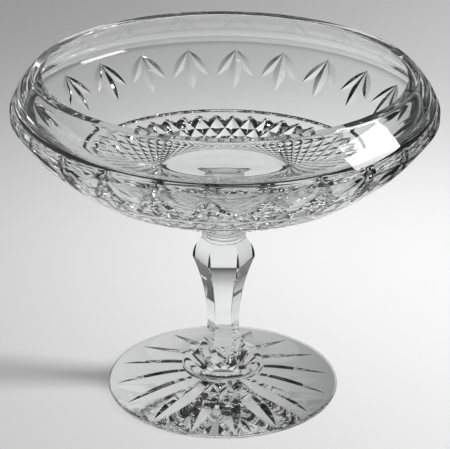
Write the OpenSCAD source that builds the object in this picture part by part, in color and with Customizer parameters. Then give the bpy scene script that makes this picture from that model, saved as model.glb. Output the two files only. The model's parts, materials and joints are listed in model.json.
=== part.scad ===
// Footed compote of clear cut crystal, free-blown in five pieces that are joined one on another.
// The origin is the centre of the foot's underside, +Z is up and the axis of every piece is Z.

/* [Foot] */
// Diameter of the foot
foot_d = 115.2; // [90:0.2:150]
// Thickness of the foot at its edge
foot_edge_t = 1.6; // [1.4:0.1:4]
// Height of the foot's flat seat for the base pad
foot_seat_h = 10; // [8:0.5:15]
// Number of rays in the star cut under the foot
star_rays = 16; // [8:1:20]
// Turn of the star's first ray from the right, against the clock
star_turn = 6.5; // [0:0.5:22.5]
// Radius where the star's rays start
star_start_r = 8; // [7:0.5:12]
// Plain border between the tips of the star and the edge of the foot
star_border = 4.1; // [3:0.1:10]

/* [Base pad] */
// Diameter of the round pad between foot and stem
pad_d = 41; // [38:0.5:50]
// Height of the pad
pad_h = 3; // [2.5:0.1:8]
// Height of the pad's upright edge
pad_edge_h = 1; // [0.5:0.1:2]

/* [Stem] */
// Height of the six-sided stem
stem_h = 67; // [55:0.5:90]
// Width across the flats where the stem spreads on the pad
stem_base_w = 30; // [26:0.5:32]
// Width across the flats at the waist
waist_w = 13.5; // [11:0.5:18]
// Height of the waist above the stem's lower end
waist_h = 21; // [15:0.5:24]
// Width across the flats at the knop
knop_w = 26.4; // [22:0.2:32]
// Distance of the knop's edge below the stem's upper end
knop_drop = 10.5; // [8:0.5:14]
// Width across the flats at the stem's upper end
stem_top_w = 18.4; // [15:0.2:20]

/* [Collar] */
// Diameter of the collar at its lower end
collar_d = 21.4; // [19:0.2:26]
// Height of the collar
collar_h = 18; // [14:0.5:26]
// Number of round beads at the collar's lower end
bead_count = 4; // [2:1:5]
// Height of one bead
bead_h = 1.8; // [1.2:0.1:2.2]
// How far a bead's round runs into the next one
bead_overlap = 0.2; // [0.1:0.05:0.4]
// How far the beads stand proud of the neck
bead_proud = 0.8; // [0.4:0.1:1.2]

/* [Bowl] */
// Diameter of the shoulder, the widest circle of the bowl
shoulder_d = 203; // [180:1:240]
// Height of the bowl from its seat on the collar to the rim
bowl_h = 67.8; // [60:0.2:90]
// Outer diameter of the rim
rim_d = 181.6; // [165:0.2:200]
// Width of the flat polished rim
rim_w = 5.5; // [4:0.1:7]
// Chamfer on both edges of the rim
rim_chamfer = 0.6; // [0.3:0.1:1]
// Height of the plain band that turns in above the shoulder
band_h = 16; // [12:0.5:22]
// Bulge of the band beyond a straight cone
band_bulge = 1.2; // [0.8:0.1:2]
// Height of the upright edge below the band
edge_h = 3.7; // [2:0.1:5]
// Diameter of the bowl's flat seat on the collar
seat_d = 27; // [24:0.5:32]
// Wall at the shoulder
wall_t = 5.6; // [5:0.1:8]
// Glass under the middle of the bowl
floor_t = 11; // [10:0.2:16]
// Diameter of the flat middle of the inside
floor_d = 40; // [30:1:60]
// Height of the inner corner above the lower side of the upright edge
corner_rise = 3.4; // [2:0.1:4]
// Length of the inner corner's rounding up the band
corner_up = 5.4; // [4:0.1:9]
// Length of the inner corner's rounding down the wall
corner_down = 4; // [2:0.1:8]
// Bulge of the inside of the band beyond a straight cone
hollow_bulge = 1.5; // [0.6:0.1:1.8]
// Radius of the ring cut on the underside
ring_r = 72; // [60:1:75]
// Depth of the ring cut
ring_depth = 0.8; // [0.5:0.1:1.2]

/* [Fan cuts] */
// Number of fans hanging from the shoulder
fan_count = 24; // [16:1:25]
// Turn of the fans from straight behind, towards the right
fan_turn = 3.3; // [0:0.1:15]
// Length of the middle leaf of a fan
leaf_len = 23; // [18:0.5:25]
// Length of the two side leaves
side_leaf_len = 16; // [12:0.5:17]
// Distance of the fan's point below the upright edge
fan_drop = 4.9; // [3:0.1:8]
// Distance of the side leaves' points below the fan's point
side_drop = 2; // [1.5:0.1:3]
// Distance of the side leaves' points from the line of the middle leaf
side_gap = 1.6; // [1.5:0.1:2]
// Angle between the middle leaf and a side leaf
fan_spread = 33; // [28:1:36]

/* [Cutting wheel] */
// Diameter of the wheel that cuts the leaves and the star
wheel_d = 190; // [150:5:240]
// Included angle of the wheel's edge for the leaves
leaf_angle = 125; // [100:5:130]
// Included angle of the wheel's edge for the ring
ring_angle = 90; // [70:5:110]
// Included angle of the wheel's edge for the star
star_angle = 120; // [90:5:125]

/* [Hidden] */
$fn = 96;
glass = [0.86, 0.9, 0.92, 0.55];
curve_steps = 8;
// How far a cutter runs past the glass that it takes away
overrun = 1;

foot_r = foot_d / 2;
pad_r = pad_d / 2;
pad_z = foot_seat_h;
stem_z = pad_z + pad_h;
collar_z = stem_z + stem_h;
bowl_z = collar_z + collar_h;
rim_z = bowl_z + bowl_h;

waist_z = stem_z + waist_h;
knop_z = collar_z - knop_drop;
pad_top_r = stem_base_w / 2 / cos(30);
stem_bar_w = max(stem_base_w, knop_w) + 1;
collar_r = collar_d / 2;
bead_top_z = collar_z + bead_count * bead_h;

shoulder_r = shoulder_d / 2;
seat_r = seat_d / 2;
rim_r = rim_d / 2;
rim_in_r = rim_r - rim_w;
band_z = rim_z - band_h;
edge_z = band_z - edge_h;
// Height in the middle of the upright edge, where the two halves of the bowl's outside meet
half_z = edge_z + edge_h / 2;
floor_z = bowl_z + floor_t;
floor_r = floor_d / 2;
corner = [shoulder_r - wall_t, edge_z + corner_rise];

wheel_r = wheel_d / 2;
star_tip_r = foot_r - star_border;
star_mid_r = (star_start_r + star_tip_r) / 2;
star_len = star_tip_r - star_start_r;
star_depth = sagitta(star_len, wheel_r);

// Height of an arc of radius rad over a chord
function sagitta(chord, rad) = chord * chord / 8 / rad;

// Radius of an arc that leaves a level line and climbs by rise over a run
function arc_radius(run, rise) = (run * run + rise * rise) / (2 * rise);

// Points along an arc that leaves a level line at start and ends at finish
function climb(start, finish) =
    let (run = finish.x - start.x, rad = arc_radius(run, finish.y - start.y), sweep = asin(run / rad))
    [for (i = [0 : curve_steps])
        let (turn = sweep * i / curve_steps)
        start + rad * [sin(turn), 1 - cos(turn)]];

// The point that lies length away from a on the way to b
function towards(a, b, length) = a + (b - a) * length / norm(b - a);

// Points of a rounding from a to c that bends towards b
function rounding(a, b, c) =
    [for (i = [0 : curve_steps])
        let (t = i / curve_steps)
        pow(1 - t, 2) * a + 2 * t * (1 - t) * b + t * t * c];

// Centre of the arc of radius rad through a and b, on the left of the way from a to b
function arc_centre(a, b, rad) =
    let (d = b - a, half = norm(d) / 2, side = [-d.y, d.x] / norm(d))
    (a + b) / 2 + side * sqrt(rad * rad - half * half);

// Points along an arc from a to b that bulges to the right of the way
function bulged(a, b, bulge) =
    let (half = norm(b - a) / 2, rad = arc_radius(half, bulge), ahead = (b - a) / (2 * half))
    [for (i = [0 : curve_steps])
        let (turn = asin(half / rad) * (2 * i / curve_steps - 1))
        arc_centre(a, b, rad) + rad * ([ahead.y, -ahead.x] * cos(turn) + ahead * sin(turn))];

wall_rad = arc_radius(shoulder_r - seat_r, edge_z - bowl_z);
wall_sweep = asin((shoulder_r - seat_r) / wall_rad);
band_chord = norm([shoulder_r - rim_r, band_h]);
band_rad = arc_radius(band_chord / 2, band_bulge);
band_centre = arc_centre([shoulder_r, band_z], [rim_r, rim_z], band_rad);
ring_sweep = asin((ring_r - seat_r) / wall_rad);

// The part of a wheel that bites into a face: X is the face's normal, the cut runs along Z
module bite(length, depth, angle) {
    shank = depth + 2 * overrun;
    half_t = shank * tan(angle / 2);
    intersection() {
        translate([wheel_r - depth, 0, 0])
            rotate([90, 0, 0])
                rotate_extrude()
                    polygon([[0, -half_t], [wheel_r - shank, -half_t], [wheel_r, 0],
                             [wheel_r - shank, half_t], [0, half_t]]);
        translate([-depth - overrun, -half_t, -length / 2 - overrun])
            cube([depth + 2 * overrun, 2 * half_t, length + 2 * overrun]);
    }
}

// The foot: a disc with a thin edge that rises to a flat seat, star-cut underneath
module foot() {
    color(glass)
        difference() {
            rotate_extrude()
                polygon([[0, 0], [foot_r, 0], [foot_r, foot_edge_t],
                         [pad_r, foot_seat_h], [0, foot_seat_h]]);
            for (i = [0 : star_rays - 1])
                rotate([0, 0, star_turn + 360 / star_rays * i])
                    translate([star_mid_r, 0, 0])
                        rotate([0, 90, 0])
                            bite(star_len, star_depth, star_angle);
        }
}

// The base pad: a low round button with an upright edge and a rounded top
module base_pad() {
    color(glass)
        rotate_extrude()
            polygon(concat(
                [[0, pad_z], [pad_r, pad_z]],
                rounding([pad_r, pad_z + pad_edge_h], [pad_r, stem_z], [pad_top_r, stem_z]),
                [[0, stem_z]]));
}

// What is ground off one side of the stem, in the plane of its axis: flare, taper and knop
module stem_side() {
    flare_rad = arc_radius(waist_h, (stem_base_w - waist_w) / 2);
    taper_rad = arc_radius(knop_z - waist_z, (knop_w - waist_w) / 2);
    top_rad = arc_radius(knop_drop, (knop_w - stem_top_w) / 2);
    intersection() {
        translate([waist_w / 2 + flare_rad, waist_z])
            circle(flare_rad);
        translate([0, stem_z - overrun])
            square([stem_bar_w, waist_h + overrun]);
    }
    intersection() {
        translate([waist_w / 2 + taper_rad, waist_z])
            circle(taper_rad);
        translate([0, waist_z])
            square([stem_bar_w, knop_z - waist_z]);
    }
    difference() {
        translate([0, knop_z])
            square([stem_bar_w, knop_drop + overrun]);
        translate([knop_w / 2 - top_rad, knop_z])
            circle(top_rad);
    }
}

// The stem: a six-sided bar, one flat to the front, with every side ground to the same outline
module stem() {
    color(glass)
        difference() {
            translate([0, 0, stem_z])
                cylinder(h = stem_h, d = stem_bar_w / cos(30), $fn = 6);
            for (turn = [30 : 60 : 330])
                rotate([90, 0, turn])
                    linear_extrude(height = 2 * stem_bar_w, center = true)
                        stem_side();
        }
}

// The collar: a stack of round beads under a neck that spreads to the bowl's seat
module collar() {
    bead_rad = bead_h / 2 + bead_overlap;
    neck_r = collar_r - bead_proud;
    spread_z = bowl_z - (seat_r - neck_r);
    color(glass)
        rotate_extrude()
            intersection() {
                union() {
                    polygon(concat(
                        [[0, collar_z], [neck_r, collar_z]],
                        rounding([neck_r, bead_top_z], [neck_r, spread_z], [seat_r, bowl_z]),
                        [[0, bowl_z]]));
                    for (i = [0 : bead_count - 1])
                        translate([collar_r - bead_rad, collar_z + (i + 0.5) * bead_h])
                            circle(bead_rad);
                }
                translate([0, collar_z])
                    square([seat_d, collar_h]);
            }
}

// Half section of the bowl as it would be without its hollow
module bowl_outside() {
    intersection() {
        union() {
            translate([seat_r, bowl_z + wall_rad])
                circle(wall_rad);
            translate([0, bowl_z])
                square([seat_r, floor_t]);
        }
        translate([0, bowl_z])
            square([shoulder_r, half_z - bowl_z]);
    }
    difference() {
        intersection() {
            translate(band_centre)
                circle(band_rad);
            translate([0, half_z])
                square([shoulder_r, rim_z - half_z]);
        }
        translate([rim_r, rim_z])
            rotate(45)
                square(rim_chamfer * sqrt(2), center = true);
    }
}

// Half section of the hollow: flat middle, climbing wall, rounded corner and the band's inside
module bowl_hollow() {
    wall = climb([floor_r, floor_z], corner);
    below = towards(corner, wall[curve_steps - 1], corner_down);
    arc = bulged(corner, [rim_in_r, rim_z], hollow_bulge);
    band = [for (i = [1 : curve_steps - 1]) if (norm(arc[i] - corner) > corner_up) arc[i]];
    polygon(concat(
        [[0, floor_z]],
        [for (i = [0 : curve_steps - 1]) wall[i]],
        rounding(below, corner, band[0]),
        [for (i = [1 : len(band) - 1]) band[i]],
        [[rim_in_r, rim_z - rim_chamfer], [rim_in_r + rim_chamfer, rim_z],
         [rim_in_r + rim_chamfer, rim_z + overrun], [0, rim_z + overrun]]));
}

// One leaf of a fan: the wheel set into the wall, turned by spread about the wall's normal, with its point
// drop below the edge and gap beside the fan's line
module leaf(length, spread, drop, gap) {
    depth = sagitta(length, wheel_r) + sagitta(length, wall_rad);
    mid = wall_sweep - (drop + length / 2 * cos(spread)) / wall_rad * 180 / PI;
    mid_r = seat_r + wall_rad * sin(mid);
    aside = (gap + length / 2 * sin(spread)) / mid_r * 180 / PI;
    rotate([0, 0, aside])
        translate([mid_r, 0, bowl_z + wall_rad * (1 - cos(mid))])
            rotate([0, 90 - mid, 0])
                rotate([spread, 0, 0])
                    bite(length, depth, leaf_angle);
}

// The ring cut round the underside
module ring_cut() {
    flank = ring_depth * tan(ring_angle / 2);
    rotate_extrude()
        translate([ring_r, bowl_z + wall_rad * (1 - cos(ring_sweep))])
            rotate(ring_sweep)
                polygon([[-2 * flank, -ring_depth], [2 * flank, -ring_depth], [0, ring_depth]]);
}

// The bowl: a lathed shell with a turned-in band, fans below the shoulder and a ring cut
module bowl() {
    color(glass)
        difference() {
            rotate_extrude()
                difference() {
                    bowl_outside();
                    bowl_hollow();
                }
            for (i = [0 : fan_count - 1])
                rotate([0, 0, 90 - fan_turn + 360 / fan_count * i]) {
                    leaf(leaf_len, 0, fan_drop, 0);
                    leaf(side_leaf_len, fan_spread, fan_drop + side_drop, side_gap);
                    leaf(side_leaf_len, -fan_spread, fan_drop + side_drop, -side_gap);
                }
            ring_cut();
        }
}

foot();
base_pad();
stem();
collar();
bowl();
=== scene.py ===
import json
import math
import time

import bmesh
import bpy
from mathutils import Matrix, Vector

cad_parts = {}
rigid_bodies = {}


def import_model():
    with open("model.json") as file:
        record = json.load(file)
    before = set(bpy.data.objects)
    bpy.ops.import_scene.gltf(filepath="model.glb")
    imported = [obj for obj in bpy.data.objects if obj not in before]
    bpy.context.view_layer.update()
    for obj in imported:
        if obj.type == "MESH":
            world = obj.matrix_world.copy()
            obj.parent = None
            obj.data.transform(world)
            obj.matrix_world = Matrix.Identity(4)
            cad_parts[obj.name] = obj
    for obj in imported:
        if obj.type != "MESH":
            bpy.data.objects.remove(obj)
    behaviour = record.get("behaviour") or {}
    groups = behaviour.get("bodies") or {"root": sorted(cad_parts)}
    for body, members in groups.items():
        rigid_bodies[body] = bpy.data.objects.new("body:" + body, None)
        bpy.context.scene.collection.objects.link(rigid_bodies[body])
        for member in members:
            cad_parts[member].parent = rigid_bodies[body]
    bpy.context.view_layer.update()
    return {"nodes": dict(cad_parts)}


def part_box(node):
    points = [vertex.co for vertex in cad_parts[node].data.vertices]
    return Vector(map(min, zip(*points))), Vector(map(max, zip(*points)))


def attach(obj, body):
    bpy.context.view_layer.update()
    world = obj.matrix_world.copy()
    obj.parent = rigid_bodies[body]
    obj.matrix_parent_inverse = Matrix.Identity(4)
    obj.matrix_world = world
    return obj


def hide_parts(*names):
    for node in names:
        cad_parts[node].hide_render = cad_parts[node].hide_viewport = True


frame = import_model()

mm = 0.001
up = Vector((0, 0, 1))
started = time.time()
print("frame loaded with", len(frame["nodes"]), "pieces")

# heights of the joints between the pieces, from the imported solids
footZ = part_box("foot")[0].z
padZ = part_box("base_pad")[0].z
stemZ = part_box("stem")[0].z
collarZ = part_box("collar")[0].z
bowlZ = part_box("bowl")[0].z
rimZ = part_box("bowl")[1].z

# lengths in metres below which a gap, a step in height or an edge counts as nothing
samePoint = 1e-7
sameHeight = 1e-6
shortEdge = 2e-6


# a shader socket that takes part in sums
class Wire:
    def __init__(self, tree, socket):
        self.tree = tree
        self.socket = socket

    def maths(self, operation, first, second):
        return node(self.tree, "ShaderNodeMath", {"operation": operation}, {0: first, 1: second})

    def __add__(self, other):
        return self.maths("ADD", self, other)

    def __radd__(self, other):
        return self.maths("ADD", other, self)

    def __sub__(self, other):
        return self.maths("SUBTRACT", self, other)

    def __rsub__(self, other):
        return self.maths("SUBTRACT", other, self)

    def __mul__(self, other):
        return self.maths("MULTIPLY", self, other)

    def __rmul__(self, other):
        return self.maths("MULTIPLY", other, self)


def node(tree, kind, settings, sockets, out=0):
    made = tree.nodes.new(kind)
    for key, value in settings.items():
        setattr(made, key, value)
    for key, value in sockets.items():
        if isinstance(value, Wire):
            tree.links.new(value.socket, made.inputs[key])
        else:
            made.inputs[key].default_value = value
    return Wire(tree, made.outputs[out]) if made.outputs else made


def newMaterial(name):
    material = bpy.data.materials.new(name)
    material.use_nodes = True
    material.node_tree.nodes.clear()
    return material, material.node_tree


def objectPlace(tree):
    return node(tree, "ShaderNodeTexCoord", {}, {}, "Object")


def alongAxis(tree, place, axis):
    return node(tree, "ShaderNodeSeparateXYZ", {}, {"Vector": place}, axis)


def cloudy(tree, place, scale, detail=2.0):
    return node(tree, "ShaderNodeTexNoise", {}, {"Vector": place, "Scale": scale, "Detail": detail})


def mixColours(tree, share, first, second):
    return node(tree, "ShaderNodeMix", {"data_type": "RGBA"}, {0: share, 6: first, 7: second}, 2)


def clamped(tree, value):
    return node(tree, "ShaderNodeClamp", {}, {"Value": value})


def showSurface(tree, shader):
    node(tree, "ShaderNodeOutputMaterial", {}, {"Surface": shader})


def grey(level):
    return (level, level, level, 1)


# clear lead crystal with faint streaks and a little wear in the polish
crystal = {
    "ior": 1.545, "clear": (0.99, 0.995, 0.995, 1), "streak": (0.965, 0.975, 0.975, 1),
    "rubbedFiner": 8, "rubbedDetail": 3.0, "rippleDepth": 0.5 * mm,
}


# passing is the share of a lamp's light that goes straight through each face
def crystalMaterial(name, streakScale, wear, ripple, passing):
    material, tree = newMaterial(name)
    place = objectPlace(tree)
    flow = cloudy(tree, place, streakScale)
    rubbed = cloudy(tree, place, streakScale * crystal["rubbedFiner"], crystal["rubbedDetail"])
    colour = mixColours(tree, flow, crystal["clear"], crystal["streak"])
    bump = node(tree, "ShaderNodeBump", {},
                {"Strength": ripple, "Distance": crystal["rippleDepth"], "Height": flow})
    glass = node(tree, "ShaderNodeBsdfPrincipled", {}, {
        "Base Color": colour, "Roughness": rubbed * wear, "IOR": crystal["ior"],
        "Transmission Weight": 1.0, "Normal": bump})
    shade = node(tree, "ShaderNodeLightPath", {}, {}, "Is Shadow Ray")
    through = node(tree, "ShaderNodeBsdfTransparent", {}, {"Color": grey(passing)})
    showSurface(tree, node(tree, "ShaderNodeMixShader", {}, {0: shade, 1: glass, 2: through}))
    return material


# where two pieces are fused the glass runs through, so the faces that meet there are clear
def fusedMaterial(name):
    material, tree = newMaterial(name)
    showSurface(tree, node(tree, "ShaderNodeBsdfTransparent", {}, {"Color": grey(1)}))
    return material


bowlCrystal = crystalMaterial("bowlCrystal", streakScale=22, wear=0.012, ripple=0.02, passing=0.9)
stemCrystal = crystalMaterial("stemCrystal", streakScale=40, wear=0.012, ripple=0.015, passing=0.5)
footCrystal = crystalMaterial("footCrystal", streakScale=30, wear=0.02, ripple=0.02, passing=0.95)
fusedJoint = fusedMaterial("fusedJoint")


# outlines are lists of (radius, height)
def arcRadius(run, rise):
    return (run * run + rise * rise) / (2 * rise)


# an arc that sets off level and climbs by rise over run
def climb(run, rise, steps):
    radius = arcRadius(run, rise)
    sweep = math.asin(run / radius)
    turns = [sweep * i / steps for i in range(steps + 1)]
    return [(radius * math.sin(t), radius * (1 - math.cos(t))) for t in turns]


# the same arc from a to b
def climbBetween(a, b, steps):
    return [(a[0] + u, a[1] + v) for u, v in climb(b[0] - a[0], b[1] - a[1], steps)]


# an arc from a to b that stands out by bulge on the right of the way
def bulged(a, b, bulge, steps):
    half = math.dist(a, b) / 2
    radius = arcRadius(half, bulge)
    along = Vector(b) - Vector(a)
    ahead = along.normalized()
    out = Vector((along.y, -along.x)).normalized()
    centre = (Vector(a) + Vector(b)) / 2 + out * (bulge - radius)
    sweep = math.asin(half / radius)
    turns = [sweep * (2 * i / steps - 1) for i in range(steps + 1)]
    return [tuple(centre + radius * (out * math.cos(t) + ahead * math.sin(t))) for t in turns]


# a curve from a to c that bends towards b
def rounding(a, b, c, steps):
    shares = [i / steps for i in range(steps + 1)]
    return [tuple((1 - t) ** 2 * p + 2 * t * (1 - t) * q + t * t * r for p, q, r in zip(a, b, c))
            for t in shares]


def towards(a, b, length):
    span = math.dist(a, b)
    return tuple(p + (q - p) * length / span for p, q in zip(a, b))


# a corner rounded off, starting at length before it and ending at length after it
def eased(before, corner, after, length, steps=3):
    return rounding(towards(corner, before, length), corner, towards(corner, after, length), steps)


def spinRound(bm, verts, edges, steps):
    bmesh.ops.spin(bm, geom=verts + edges, cent=(0, 0, 0), axis=up, angle=math.tau,
                   steps=steps, use_merge=True)


def lathe(outline, steps):
    bm = bmesh.new()
    verts = [bm.verts.new((r, 0, z)) for r, z in outline]
    edges = [bm.edges.new(pair) for pair in zip(verts, verts[1:])]
    spinRound(bm, verts, edges, steps)
    bmesh.ops.remove_doubles(bm, verts=bm.verts, dist=samePoint)
    bmesh.ops.recalc_face_normals(bm, faces=bm.faces)
    return bm


overcut = 1 * mm  # how far a cutter stands out of the face


# the three corners of a V: its bottom in the glass and its two edges clear of the face
def vCorners(spot, inward, across, depth, flank):
    side = across * (depth + overcut) * flank
    return [spot + inward * depth, spot - inward * overcut + side, spot - inward * overcut - side]


# a V ground along a path: a station is a spot on the face, the way into the glass and a depth
def vCut(stations, flank):
    bm = bmesh.new()
    section = None
    last = len(stations) - 1
    for i, (spot, inward, depth) in enumerate(stations):
        along = stations[min(i + 1, last)][0] - stations[max(i - 1, 0)][0]
        corners = vCorners(spot, inward, along.cross(inward).normalized(), depth, flank)
        if section is None:
            section = [bm.verts.new(c) for c in corners]
            bm.faces.new(section)
            continue
        edges = [bm.edges.get((section[k], section[k - 1])) for k in range(3)]
        grown = bmesh.ops.extrude_edge_only(bm, edges=edges)["geom"]
        fresh = [g for g in grown if isinstance(g, bmesh.types.BMVert)]
        section = [min(fresh, key=lambda v: (v.co - old.co).length) for old in section]
        for vert, corner in zip(section, corners):
            vert.co = corner
    bm.faces.new(section)
    bmesh.ops.recalc_face_normals(bm, faces=bm.faces)
    return bm


# the same V turned round the axis
def ringCut(spot, inward, depth, flank, steps):
    bm = bmesh.new()
    corners = vCorners(spot, inward, Vector((-inward.z, 0, inward.x)), depth, flank)
    verts = [bm.verts.new(c) for c in corners]
    edges = [bm.edges.new((verts[k], verts[k - 1])) for k in range(3)]
    spinRound(bm, verts, edges, steps)
    bmesh.ops.recalc_face_normals(bm, faces=bm.faces)
    return bm


def meshFrom(bm, name):
    mesh = bpy.data.meshes.new(name)
    bm.to_mesh(mesh)
    bm.free()
    return mesh


def putInScene(thing):
    bpy.context.scene.collection.objects.link(thing)


# grinds every cut out of a blank and gives back the carved bmesh
def carve(blank, cuts):
    body = bpy.data.objects.new("blank", meshFrom(blank, "blank"))
    putInScene(body)
    wheels = bpy.data.collections.new("wheels")
    bpy.context.scene.collection.children.link(wheels)
    for cut in cuts:
        wheels.objects.link(bpy.data.objects.new("cut", meshFrom(cut, "cut")))
    grind = body.modifiers.new("grind", "BOOLEAN")
    grind.operation = "DIFFERENCE"
    grind.solver = "MANIFOLD"
    grind.operand_type = "COLLECTION"
    grind.collection = wheels
    carved = bmesh.new()
    carved.from_object(body, bpy.context.evaluated_depsgraph_get())
    for spent in [body, *wheels.objects]:
        bpy.data.meshes.remove(spent.data)
    bpy.data.collections.remove(wheels)
    bmesh.ops.dissolve_degenerate(carved, edges=carved.edges, dist=shortEdge)
    return carved


def liesAt(face, height):
    return all(abs(v.co.z - height) < sameHeight for v in face.verts)


# scores a regular outline round the axis into the flat faces at one height
def scoreJoint(bm, height, sides, apothem, turn):
    for k in range(sides):
        angle = turn + math.tau * k / sides
        out = Vector((math.cos(angle), math.sin(angle), 0))
        flat = [f for f in bm.faces if liesAt(f, height)]
        edges = list(dict.fromkeys(e for f in flat for e in f.edges))
        verts = list(dict.fromkeys(v for f in flat for v in f.verts))
        bmesh.ops.bisect_plane(bm, geom=flat + edges + verts, plane_co=out * apothem, plane_no=out,
                               dist=samePoint)


crispAngle = math.radians(12)


# finishes a piece: crisp cut edges, clear faces where it is fused to its neighbours
def addPiece(bm, name, nodeName, material, joints):
    for height, radius in joints:
        for face in bm.faces:
            if liesAt(face, height) and face.calc_center_median().xy.length < radius:
                face.material_index = 1
    for face in bm.faces:
        face.smooth = True
    for edge in bm.edges:
        edge.smooth = edge.is_manifold and edge.calc_face_angle(0) < crispAngle
    triangles = sum(len(f.verts) - 2 for f in bm.faces)
    loose = sum(not e.is_manifold for e in bm.edges)
    piece = bpy.data.objects.new(name, meshFrom(bm, name))
    piece.data.materials.append(material)
    piece.data.materials.append(fusedJoint)
    putInScene(piece)
    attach(piece, "root")
    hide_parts(nodeName)
    seconds = round(time.time() - started, 1)
    print(name, "made:", triangles, "triangles,", loose, "open edges,", seconds, "s")


# the bowl: a lathed blank with a turned-in band
bowl = {
    "shoulderR": 101.5 * mm, "rimR": 90.8 * mm, "rimW": 5.5 * mm, "rimEase": 0.8 * mm,
    "bandH": 16 * mm, "bandBulge": 1.2 * mm, "edgeH": 3.7 * mm, "edgeEase": 0.4 * mm,
    "seatR": 13.5 * mm, "wall": 5.6 * mm, "floor": 11 * mm, "floorR": 20 * mm,
    "cornerRise": 3.4 * mm, "cornerDown": 4 * mm, "cornerUp": 5.4 * mm, "hollowBulge": 1.5 * mm,
    "wallSteps": 64, "bandSteps": 10, "rimSteps": 4, "hollowSteps": 40, "cornerSteps": 24, "turns": 288,
}
bandZ = rimZ - bowl["bandH"]
edgeZ = bandZ - bowl["edgeH"]
wallR = arcRadius(bowl["shoulderR"] - bowl["seatR"], edgeZ - bowlZ)
wallSweep = math.asin((bowl["shoulderR"] - bowl["seatR"]) / wallR)


# from the seat up the outside, over the rim and down the inside to the middle
def bowlOutline():
    seat = (bowl["seatR"], bowlZ)
    edgeLow, edgeHigh = (bowl["shoulderR"], edgeZ), (bowl["shoulderR"], bandZ)
    rimOut, rimIn = (bowl["rimR"], rimZ), (bowl["rimR"] - bowl["rimW"], rimZ)
    floorEnd = (bowl["floorR"], bowlZ + bowl["floor"])
    corner = (bowl["shoulderR"] - bowl["wall"], edgeZ + bowl["cornerRise"])
    wall = climbBetween(seat, edgeLow, bowl["wallSteps"])
    band = bulged(edgeHigh, rimOut, bowl["bandBulge"], bowl["bandSteps"])
    hollow = bulged(corner, rimIn, bowl["hollowBulge"], bowl["hollowSteps"])[::-1]
    hollow = [spot for spot in hollow if math.dist(spot, corner) > bowl["cornerUp"]]
    inside = climbBetween(floorEnd, corner, bowl["wallSteps"])
    inside = [spot for spot in inside if math.dist(spot, corner) > bowl["cornerDown"]]
    outline = [(0, bowlZ)] + wall[:-1]
    outline += eased(wall[-2], edgeLow, edgeHigh, bowl["edgeEase"])
    outline += eased(edgeLow, edgeHigh, band[1], bowl["edgeEase"])
    outline += band[1:-1]
    outline += eased(band[-2], rimOut, rimIn, bowl["rimEase"], bowl["rimSteps"])
    outline += eased(rimOut, rimIn, hollow[2], bowl["rimEase"], bowl["rimSteps"])
    outline += hollow[2:-1] + rounding(hollow[-1], corner, inside[-1], bowl["cornerSteps"])
    outline += inside[-2::-1] + [(0, floorEnd[1])]
    return outline


# a spot on the bowl's underside and the way into the glass there
def underside(r, azimuth):
    out = Vector((math.cos(azimuth), math.sin(azimuth), 0))
    lean = math.asin((r - bowl["seatR"]) / wallR)
    spot = out * r + up * (bowlZ + wallR * (1 - math.cos(lean)))
    return spot, up * math.cos(lean) - out * math.sin(lean)


fans = {
    "count": 24, "turn": math.radians(3.3), "spread": math.radians(33),
    "midLen": 23 * mm, "sideLen": 17.5 * mm, "drop": 4.9 * mm, "sideDrop": 5.7 * mm,
    "midDepth": 1.25 * mm, "sideDepth": 0.95 * mm, "flank": math.tan(math.radians(70)), "steps": 12,
}


# one leaf of a fan, from drop below the shoulder's edge down the wall, deepest in its middle
def leafCut(azimuth, length, spread, drop, depth):
    stations = []
    for i in range(fans["steps"] + 1):
        gone = length * i / fans["steps"]
        lean = wallSweep - (drop + gone * math.cos(spread)) / wallR
        r = bowl["seatR"] + wallR * math.sin(lean)
        share = 2 * i / fans["steps"] - 1
        spot, inward = underside(r, azimuth + gone * math.sin(spread) / r)
        stations.append((spot, inward, depth * (1 - share * share)))
    return vCut(stations, fans["flank"])


def fanCuts(azimuth):
    sides = [leafCut(azimuth, fans["sideLen"], hand * fans["spread"], fans["sideDrop"], fans["sideDepth"])
             for hand in (-1, 1)]
    return [leafCut(azimuth, fans["midLen"], 0, fans["drop"], fans["midDepth"])] + sides


ring = {"r": 72 * mm, "depth": 1.7 * mm, "flank": math.tan(math.radians(30))}
diamonds = {
    "count": 48, "turn": math.radians(3.75), "nearR": 33.8 * mm, "endR": 69 * mm,
    "depth": 2.2 * mm, "endShare": 0.3, "fade": 5 * mm, "flank": math.tan(math.radians(60)), "steps": 14,
}


# one straight stroke of the diamond band, past the clear middle and out again
def diamondCut(turn):
    nearR, endShare = diamonds["nearR"], diamonds["endShare"]
    reach = math.sqrt(diamonds["endR"] ** 2 - nearR ** 2)
    stations = []
    for i in range(-diamonds["steps"], diamonds["steps"] + 1):
        gone = reach * i / diamonds["steps"]
        fade = min(1, (reach - abs(gone)) / diamonds["fade"])
        depth = diamonds["depth"] * (endShare + (1 - endShare) * fade)
        spot, inward = underside(math.hypot(nearR, gone), turn + math.atan2(gone, nearR))
        stations.append((spot, inward, depth))
    return vCut(stations, diamonds["flank"])


def bowlCuts():
    cuts = [ringCut(*underside(ring["r"], 0), ring["depth"], ring["flank"], bowl["turns"])]
    for i in range(fans["count"]):
        cuts += fanCuts(math.pi / 2 - fans["turn"] + math.tau * i / fans["count"])
    for i in range(diamonds["count"]):
        cuts.append(diamondCut(diamonds["turn"] + math.tau * i / diamonds["count"]))
    return cuts


bowlMesh = carve(lathe(bowlOutline(), bowl["turns"]), bowlCuts())
addPiece(bowlMesh, "bowlGlass", "bowl", bowlCrystal, [(bowlZ, bowl["seatR"])])


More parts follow.
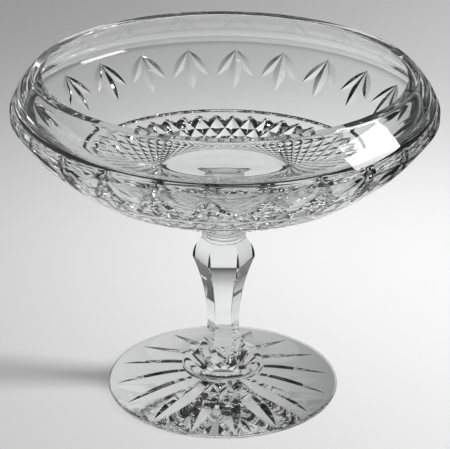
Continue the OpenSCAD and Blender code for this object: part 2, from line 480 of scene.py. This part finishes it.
# the collar: beads under a neck that spreads to the bowl
collar = {
    "r": 10.7 * mm, "proud": 0.8 * mm, "beads": 4, "beadH": 1.8 * mm, "beadR": 1.1 * mm,
    "beadSteps": 8, "neckSteps": 16, "turns": 96,
}
beadMidR = collar["r"] - collar["beadR"]
collarFootR = beadMidR + math.sqrt(collar["beadR"] ** 2 - (collar["beadH"] / 2) ** 2)


def collarOutline():
    neckR = collar["r"] - collar["proud"]
    beadR, steps = collar["beadR"], collar["beadSteps"]
    beadSweep = math.asin(collar["beadH"] / 2 / beadR)
    turns = [beadSweep * (2 * k / steps - 1) for k in range(steps + 1)]
    outline = [(0, collarZ)]
    for i in range(collar["beads"]):
        middle = collarZ + (i + 0.5) * collar["beadH"]
        outline += [(beadMidR + beadR * math.cos(t), middle + beadR * math.sin(t)) for t in turns]
    neckFoot = (neckR, collarZ + collar["beads"] * collar["beadH"])
    neckBend = (neckR, bowlZ - (bowl["seatR"] - neckR))
    outline += rounding(neckFoot, neckBend, (bowl["seatR"], bowlZ), collar["neckSteps"])
    return outline + [(0, bowlZ)]


# the stem: flare, waist, long taper and knop on six flat sides, one of them to the front
stem = {
    "baseW": 30 * mm, "waistW": 13.5 * mm, "waistH": 21 * mm, "knopW": 26.4 * mm, "knopDrop": 10.5 * mm,
    "topW": 18.4 * mm, "sides": 6, "steps": 20, "roundSides": 24,
}
flatTurn = math.pi / stem["sides"]  # from a corner of the stem to the middle of a side
cornerOut = 1 / math.cos(flatTurn)  # a corner's distance from the axis for a side's distance of 1


def stemOutline():
    waist, knop = stem["waistW"] / 2, stem["knopW"] / 2
    waistZ = stemZ + stem["waistH"]
    knopZ = collarZ - stem["knopDrop"]
    flare = climb(stem["waistH"], (stem["baseW"] - stem["waistW"]) / 2, stem["steps"])
    taper = climb(knopZ - waistZ, (stem["knopW"] - stem["waistW"]) / 2, stem["steps"])
    top = climb(stem["knopDrop"], (stem["knopW"] - stem["topW"]) / 2, stem["steps"])
    sides = [(waist + v, waistZ - u) for u, v in flare[::-1]]
    sides += [(waist + v, waistZ + u) for u, v in taper[1:]]
    sides += [(knop - v, knopZ + u) for u, v in top[1:]]
    return [(0, stemZ)] + [(half * cornerOut, z) for half, z in sides] + [(0, collarZ)]


collarMesh = lathe(collarOutline(), collar["turns"])
scoreJoint(collarMesh, collarZ, stem["sides"], stem["topW"] / 2, flatTurn)
addPiece(collarMesh, "collarGlass", "collar", stemCrystal,
         [(collarZ, collarFootR), (bowlZ, bowl["seatR"])])

stemMesh = lathe(stemOutline(), stem["sides"])
scoreJoint(stemMesh, collarZ, stem["roundSides"], collarFootR, 0)
addPiece(stemMesh, "stemGlass", "stem", stemCrystal,
         [(stemZ, stem["baseW"]), (collarZ, collarFootR)])


# the base pad: a low round button with a rolled top
pad = {"r": 20.5 * mm, "edgeH": 1 * mm, "steps": 16, "turns": 128}


def padOutline():
    topR = stem["baseW"] / 2 / math.cos(flatTurn)
    rolled = rounding((pad["r"], padZ + pad["edgeH"]), (pad["r"], stemZ), (topR, stemZ), pad["steps"])
    return [(0, padZ), (pad["r"], padZ)] + rolled + [(0, stemZ)]


padMesh = lathe(padOutline(), pad["turns"])
scoreJoint(padMesh, stemZ, stem["sides"], stem["baseW"] / 2, flatTurn)
addPiece(padMesh, "padGlass", "base_pad", stemCrystal,
         [(padZ, pad["r"]), (stemZ, stem["baseW"] / 2)])


# the foot: a disc that rises to the pad, with a star ground into its underside
foot = {"r": 57.6 * mm, "edgeT": 1.6 * mm, "ease": 0.4 * mm, "sag": 1.2 * mm, "steps": 24, "turns": 192}
star = {
    "rays": 16, "turn": math.radians(6.5), "startR": 8 * mm, "tipR": 53.5 * mm, "depth": 2.7 * mm,
    "flank": math.tan(math.radians(62)), "steps": 16,
}


def footOutline():
    bottom, edge, seat = (foot["r"], footZ), (foot["r"], footZ + foot["edgeT"]), (pad["r"], padZ)
    top = bulged(seat, edge, foot["sag"], foot["steps"])[::-1]
    outline = [(0, footZ)] + eased((0, footZ), bottom, edge, foot["ease"])
    outline += eased(bottom, edge, top[2], foot["ease"])
    return outline + top[1:] + [(0, padZ)]


# one ray of the star, deepest halfway out
def rayCut(turn):
    out = Vector((math.cos(turn), math.sin(turn), 0))
    stations = []
    for i in range(star["steps"] + 1):
        share = i / star["steps"]
        r = star["startR"] + (star["tipR"] - star["startR"]) * share
        stations.append((out * r + up * footZ, up, star["depth"] * (1 - (2 * share - 1) ** 2)))
    return vCut(stations, star["flank"])


rays = [rayCut(star["turn"] + math.tau * i / star["rays"]) for i in range(star["rays"])]
footMesh = carve(lathe(footOutline(), foot["turns"]), rays)
addPiece(footMesh, "footGlass", "foot", footCrystal, [(padZ, pad["r"])])


# the camera of the photo, fitted to the outlines of foot, shoulder and rim
view = {
    "place": (0.5 * mm, -850 * mm, 469 * mm), "pitch": math.radians(65.77), "roll": math.radians(0.5),
    "lens": 153.2, "sensor": 36,
}
eye = bpy.data.cameras.new("eye")
eye.lens = view["lens"]
eye.sensor_width = view["sensor"]
eye.sensor_fit = "HORIZONTAL"
camera = bpy.data.objects.new("camera", eye)
camera.matrix_world = (Matrix.Translation(view["place"]) @ Matrix.Rotation(view["pitch"], 4, "X")
                       @ Matrix.Rotation(view["roll"], 4, "Z"))
putInScene(camera)
bpy.context.scene.camera = camera


# the stage: all but the floor is hidden from the camera, so that only the glass shows it
glassOnly = ("visible_camera", "visible_diffuse")
glassOnlyNoShade = glassOnly + ("visible_shadow",)


def addStage(bm, name, material, z=0, hidden=()):
    piece = bpy.data.objects.new(name, meshFrom(bm, name))
    piece.location.z = z
    piece.data.materials.append(material)
    for seenBy in hidden:
        setattr(piece, seenBy, False)
    putInScene(piece)


def disc(r, sides):
    bm = bmesh.new()
    bmesh.ops.create_circle(bm, cap_ends=True, segments=sides, radius=r)
    return bm


# a pale floor
floor = {
    "r": 3.0, "drop": 0.05 * mm, "sides": 64,
    "pale": 0.80, "dull": 0.77, "mottle": 3.0, "detail": 4.0, "rough": 0.9,
}


def floorMaterial(name):
    material, tree = newMaterial(name)
    mottle = cloudy(tree, objectPlace(tree), floor["mottle"], floor["detail"])
    colour = mixColours(tree, mottle, grey(floor["pale"]), grey(floor["dull"]))
    matt = node(tree, "ShaderNodeBsdfPrincipled", {}, {"Base Color": colour, "Roughness": floor["rough"]})
    showSurface(tree, matt)
    return material


addStage(disc(floor["r"], floor["sides"]), "floor", floorMaterial("paleFloor"), footZ - floor["drop"])


# a low pale cove behind, dimmer at its foot
cove = {
    "r": 1.6, "height": 0.45, "from": math.radians(66), "to": math.radians(135), "steps": 24,
    "glow": 0.38, "low": 0.3, "high": 1, "mottle": 1.5, "patchy": 0.1,
}


def coveMaterial(name):
    material, tree = newMaterial(name)
    place = objectPlace(tree)
    mottle = cloudy(tree, place, cove["mottle"])
    height = alongAxis(tree, place, "Z") * (2 / cove["height"])  # full light from halfway up
    lit = clamped(tree, height - mottle * cove["patchy"])
    colour = mixColours(tree, lit, grey(cove["low"]), grey(cove["high"]))
    showSurface(tree, node(tree, "ShaderNodeEmission", {}, {"Color": colour, "Strength": cove["glow"]}))
    return material


coveMesh = bmesh.new()
post = [coveMesh.verts.new((cove["r"] * math.cos(cove["from"]), cove["r"] * math.sin(cove["from"]), z))
        for z in (0, cove["height"])]
bmesh.ops.spin(coveMesh, geom=post + [coveMesh.edges.new(post)], cent=(0, 0, 0), axis=up,
               angle=cove["to"] - cove["from"], steps=cove["steps"])
addStage(coveMesh, "cove", coveMaterial("paleCove"), hidden=glassOnly)


# a glowing disc under the foot, seen only through the glass, paints the light that the foot gathers under
# itself, brighter away from the lamp
paintedFootGlow = {"r": 56.5 * mm, "drop": 0.02 * mm, "sides": 96, "bright": 0.78, "dim": 0.40}


def paintedFootGlowMaterial(name):
    material, tree = newMaterial(name)
    across = alongAxis(tree, objectPlace(tree), "X") * (0.5 / paintedFootGlow["r"]) + 0.5  # 0 at left, 1 at right
    # painted light: the glow runs from bright at the left to dim at the right
    colour = mixColours(tree, across, grey(paintedFootGlow["bright"]), grey(paintedFootGlow["dim"]))
    showSurface(tree, node(tree, "ShaderNodeEmission", {}, {"Color": colour, "Strength": 1.0}))
    return material


addStage(disc(paintedFootGlow["r"], paintedFootGlow["sides"]), "paintedFootGlow", paintedFootGlowMaterial("paintedFootGlowLight"),
         footZ - paintedFootGlow["drop"], glassOnlyNoShade)


# dark flags that paint shade seen only in the glass: three lie on the floor, and two cards stand upright
# at the sides
paintedShadeSheet = {"dark": 0.006, "light": 0.012, "shadeMottle": 40.0, "lift": 0.3 * mm}
paintedShadeFlags = {
    "leftFlag": {"low": (-0.27, -0.22), "high": (-0.17, 0.2)},
    "leftCard": {"low": (-0.135, -0.12), "high": (-0.135, 0.12), "top": 0.2},
    "rightCard": {"low": (0.125, -0.1), "high": (0.125, 0.12), "top": 0.15},
    "frontFlag": {"low": (-0.17, -0.30), "high": (0.30, -0.06),
                  "fade": {"toX": 0, "toY": -1, "starts": 0.07, "grows": 40}},
    "rightFlag": {"low": (0.03, -0.06), "high": (0.7, 0.9),
                  "fade": {"toX": 1, "toY": -0.25, "starts": 0.03, "grows": 5}},
}


# a flag with a fade paints no shade at first, and its painted shade thickens along the way (toX, toY)
def paintedShadeMaterial(name, fade):
    material, tree = newMaterial(name)
    place = objectPlace(tree)
    # painted shade: a near-black, slightly mottled sheet that only the glass sees
    shadeMottle = cloudy(tree, place, paintedShadeSheet["shadeMottle"])
    colour = mixColours(tree, shadeMottle, grey(paintedShadeSheet["dark"]), grey(paintedShadeSheet["light"]))
    cloth = node(tree, "ShaderNodeBsdfPrincipled", {}, {"Base Color": colour, "Roughness": 1.0})
    if fade:
        along = alongAxis(tree, place, "X") * fade["toX"] + alongAxis(tree, place, "Y") * fade["toY"]
        # the share of painted shade grows along the fade, and the rest is clear
        paintedShadeShare = clamped(tree, (along - fade["starts"]) * fade["grows"])
        clearOfShade = node(tree, "ShaderNodeBsdfTransparent", {}, {})
        cloth = node(tree, "ShaderNodeMixShader", {}, {0: paintedShadeShare, 1: clearOfShade, 2: cloth})
    showSurface(tree, cloth)
    return material


for flagName, flag in paintedShadeFlags.items():
    (x0, y0), (x1, y1), top = flag["low"], flag["high"], flag.get("top", 0)
    corners = [(x0, y0, 0), (x1, y0, 0), (x1, y1, 0), (x0, y1, 0)]
    if top:
        corners = [(x0, y0, 0), (x1, y1, 0), (x1, y1, top), (x0, y0, top)]
    base = footZ + paintedShadeSheet["lift"]
    flagMesh = bmesh.new()
    flagMesh.faces.new([flagMesh.verts.new((x, y, base + z)) for x, y, z in corners])
    addStage(flagMesh, flagName, paintedShadeMaterial(flagName, flag.get("fade")), hidden=glassOnlyNoShade)


# soft lamps: the glass mirrors the key box alone, and the other two light the floor alone
lamps = {
    "keyBox": {"place": (0.86, -0.12, 0.42), "size": (0.52, 0.27), "watts": 6.4, "mirrored": True},
    "sideBox": {"place": (1.39, -0.1, 0.58), "size": (0.35, 0.35), "watts": 44},
    "poolBox": {"place": (0.05, 0.24, 0.3), "size": (0.12, 0.12), "watts": 0.5, "shades": False},
}
lampAim = Vector((0, 0, 0.09))


def addLamp(name, place, size, watts, mirrored=False, shades=True):
    light = bpy.data.lights.new(name, "AREA")
    light.shape = "RECTANGLE"
    light.size, light.size_y = size
    light.energy = watts
    light.use_shadow = shades
    lamp = bpy.data.objects.new(name, light)
    lamp.location = place
    lamp.rotation_euler = (lampAim - Vector(place)).to_track_quat("-Z", "Y").to_euler()
    lamp.visible_glossy = lamp.visible_transmission = mirrored
    lamp.visible_diffuse = not mirrored
    lamp.visible_camera = False
    putInScene(lamp)


for lampName, lampSettings in lamps.items():
    addLamp(lampName, **lampSettings)


# a dark room round the lit floor, pale where the camera looks past the floor
studio = {"pale": 0.5, "dark": 0.02}


def studioWorld(name):
    world = bpy.data.worlds.new(name)
    world.use_nodes = True
    tree = world.node_tree
    tree.nodes.clear()
    direct = node(tree, "ShaderNodeLightPath", {}, {}, "Is Camera Ray")
    back = node(tree, "ShaderNodeBackground", {},
                {"Color": grey(1), "Strength": direct * studio["pale"] + studio["dark"]})
    node(tree, "ShaderNodeOutputWorld", {}, {"Surface": back})
    return world


scene = bpy.context.scene
scene.world = studioWorld("studio")
scene.view_settings.view_transform = "Standard"
scene.cycles.caustics_refractive = False
scene.cycles.caustics_reflective = False
scene.cycles.max_bounces = 32
scene.cycles.transmission_bounces = 32
scene.cycles.glossy_bounces = 16
scene.cycles.transparent_max_bounces = 24
print("stage set,", round(time.time() - started, 1), "s")
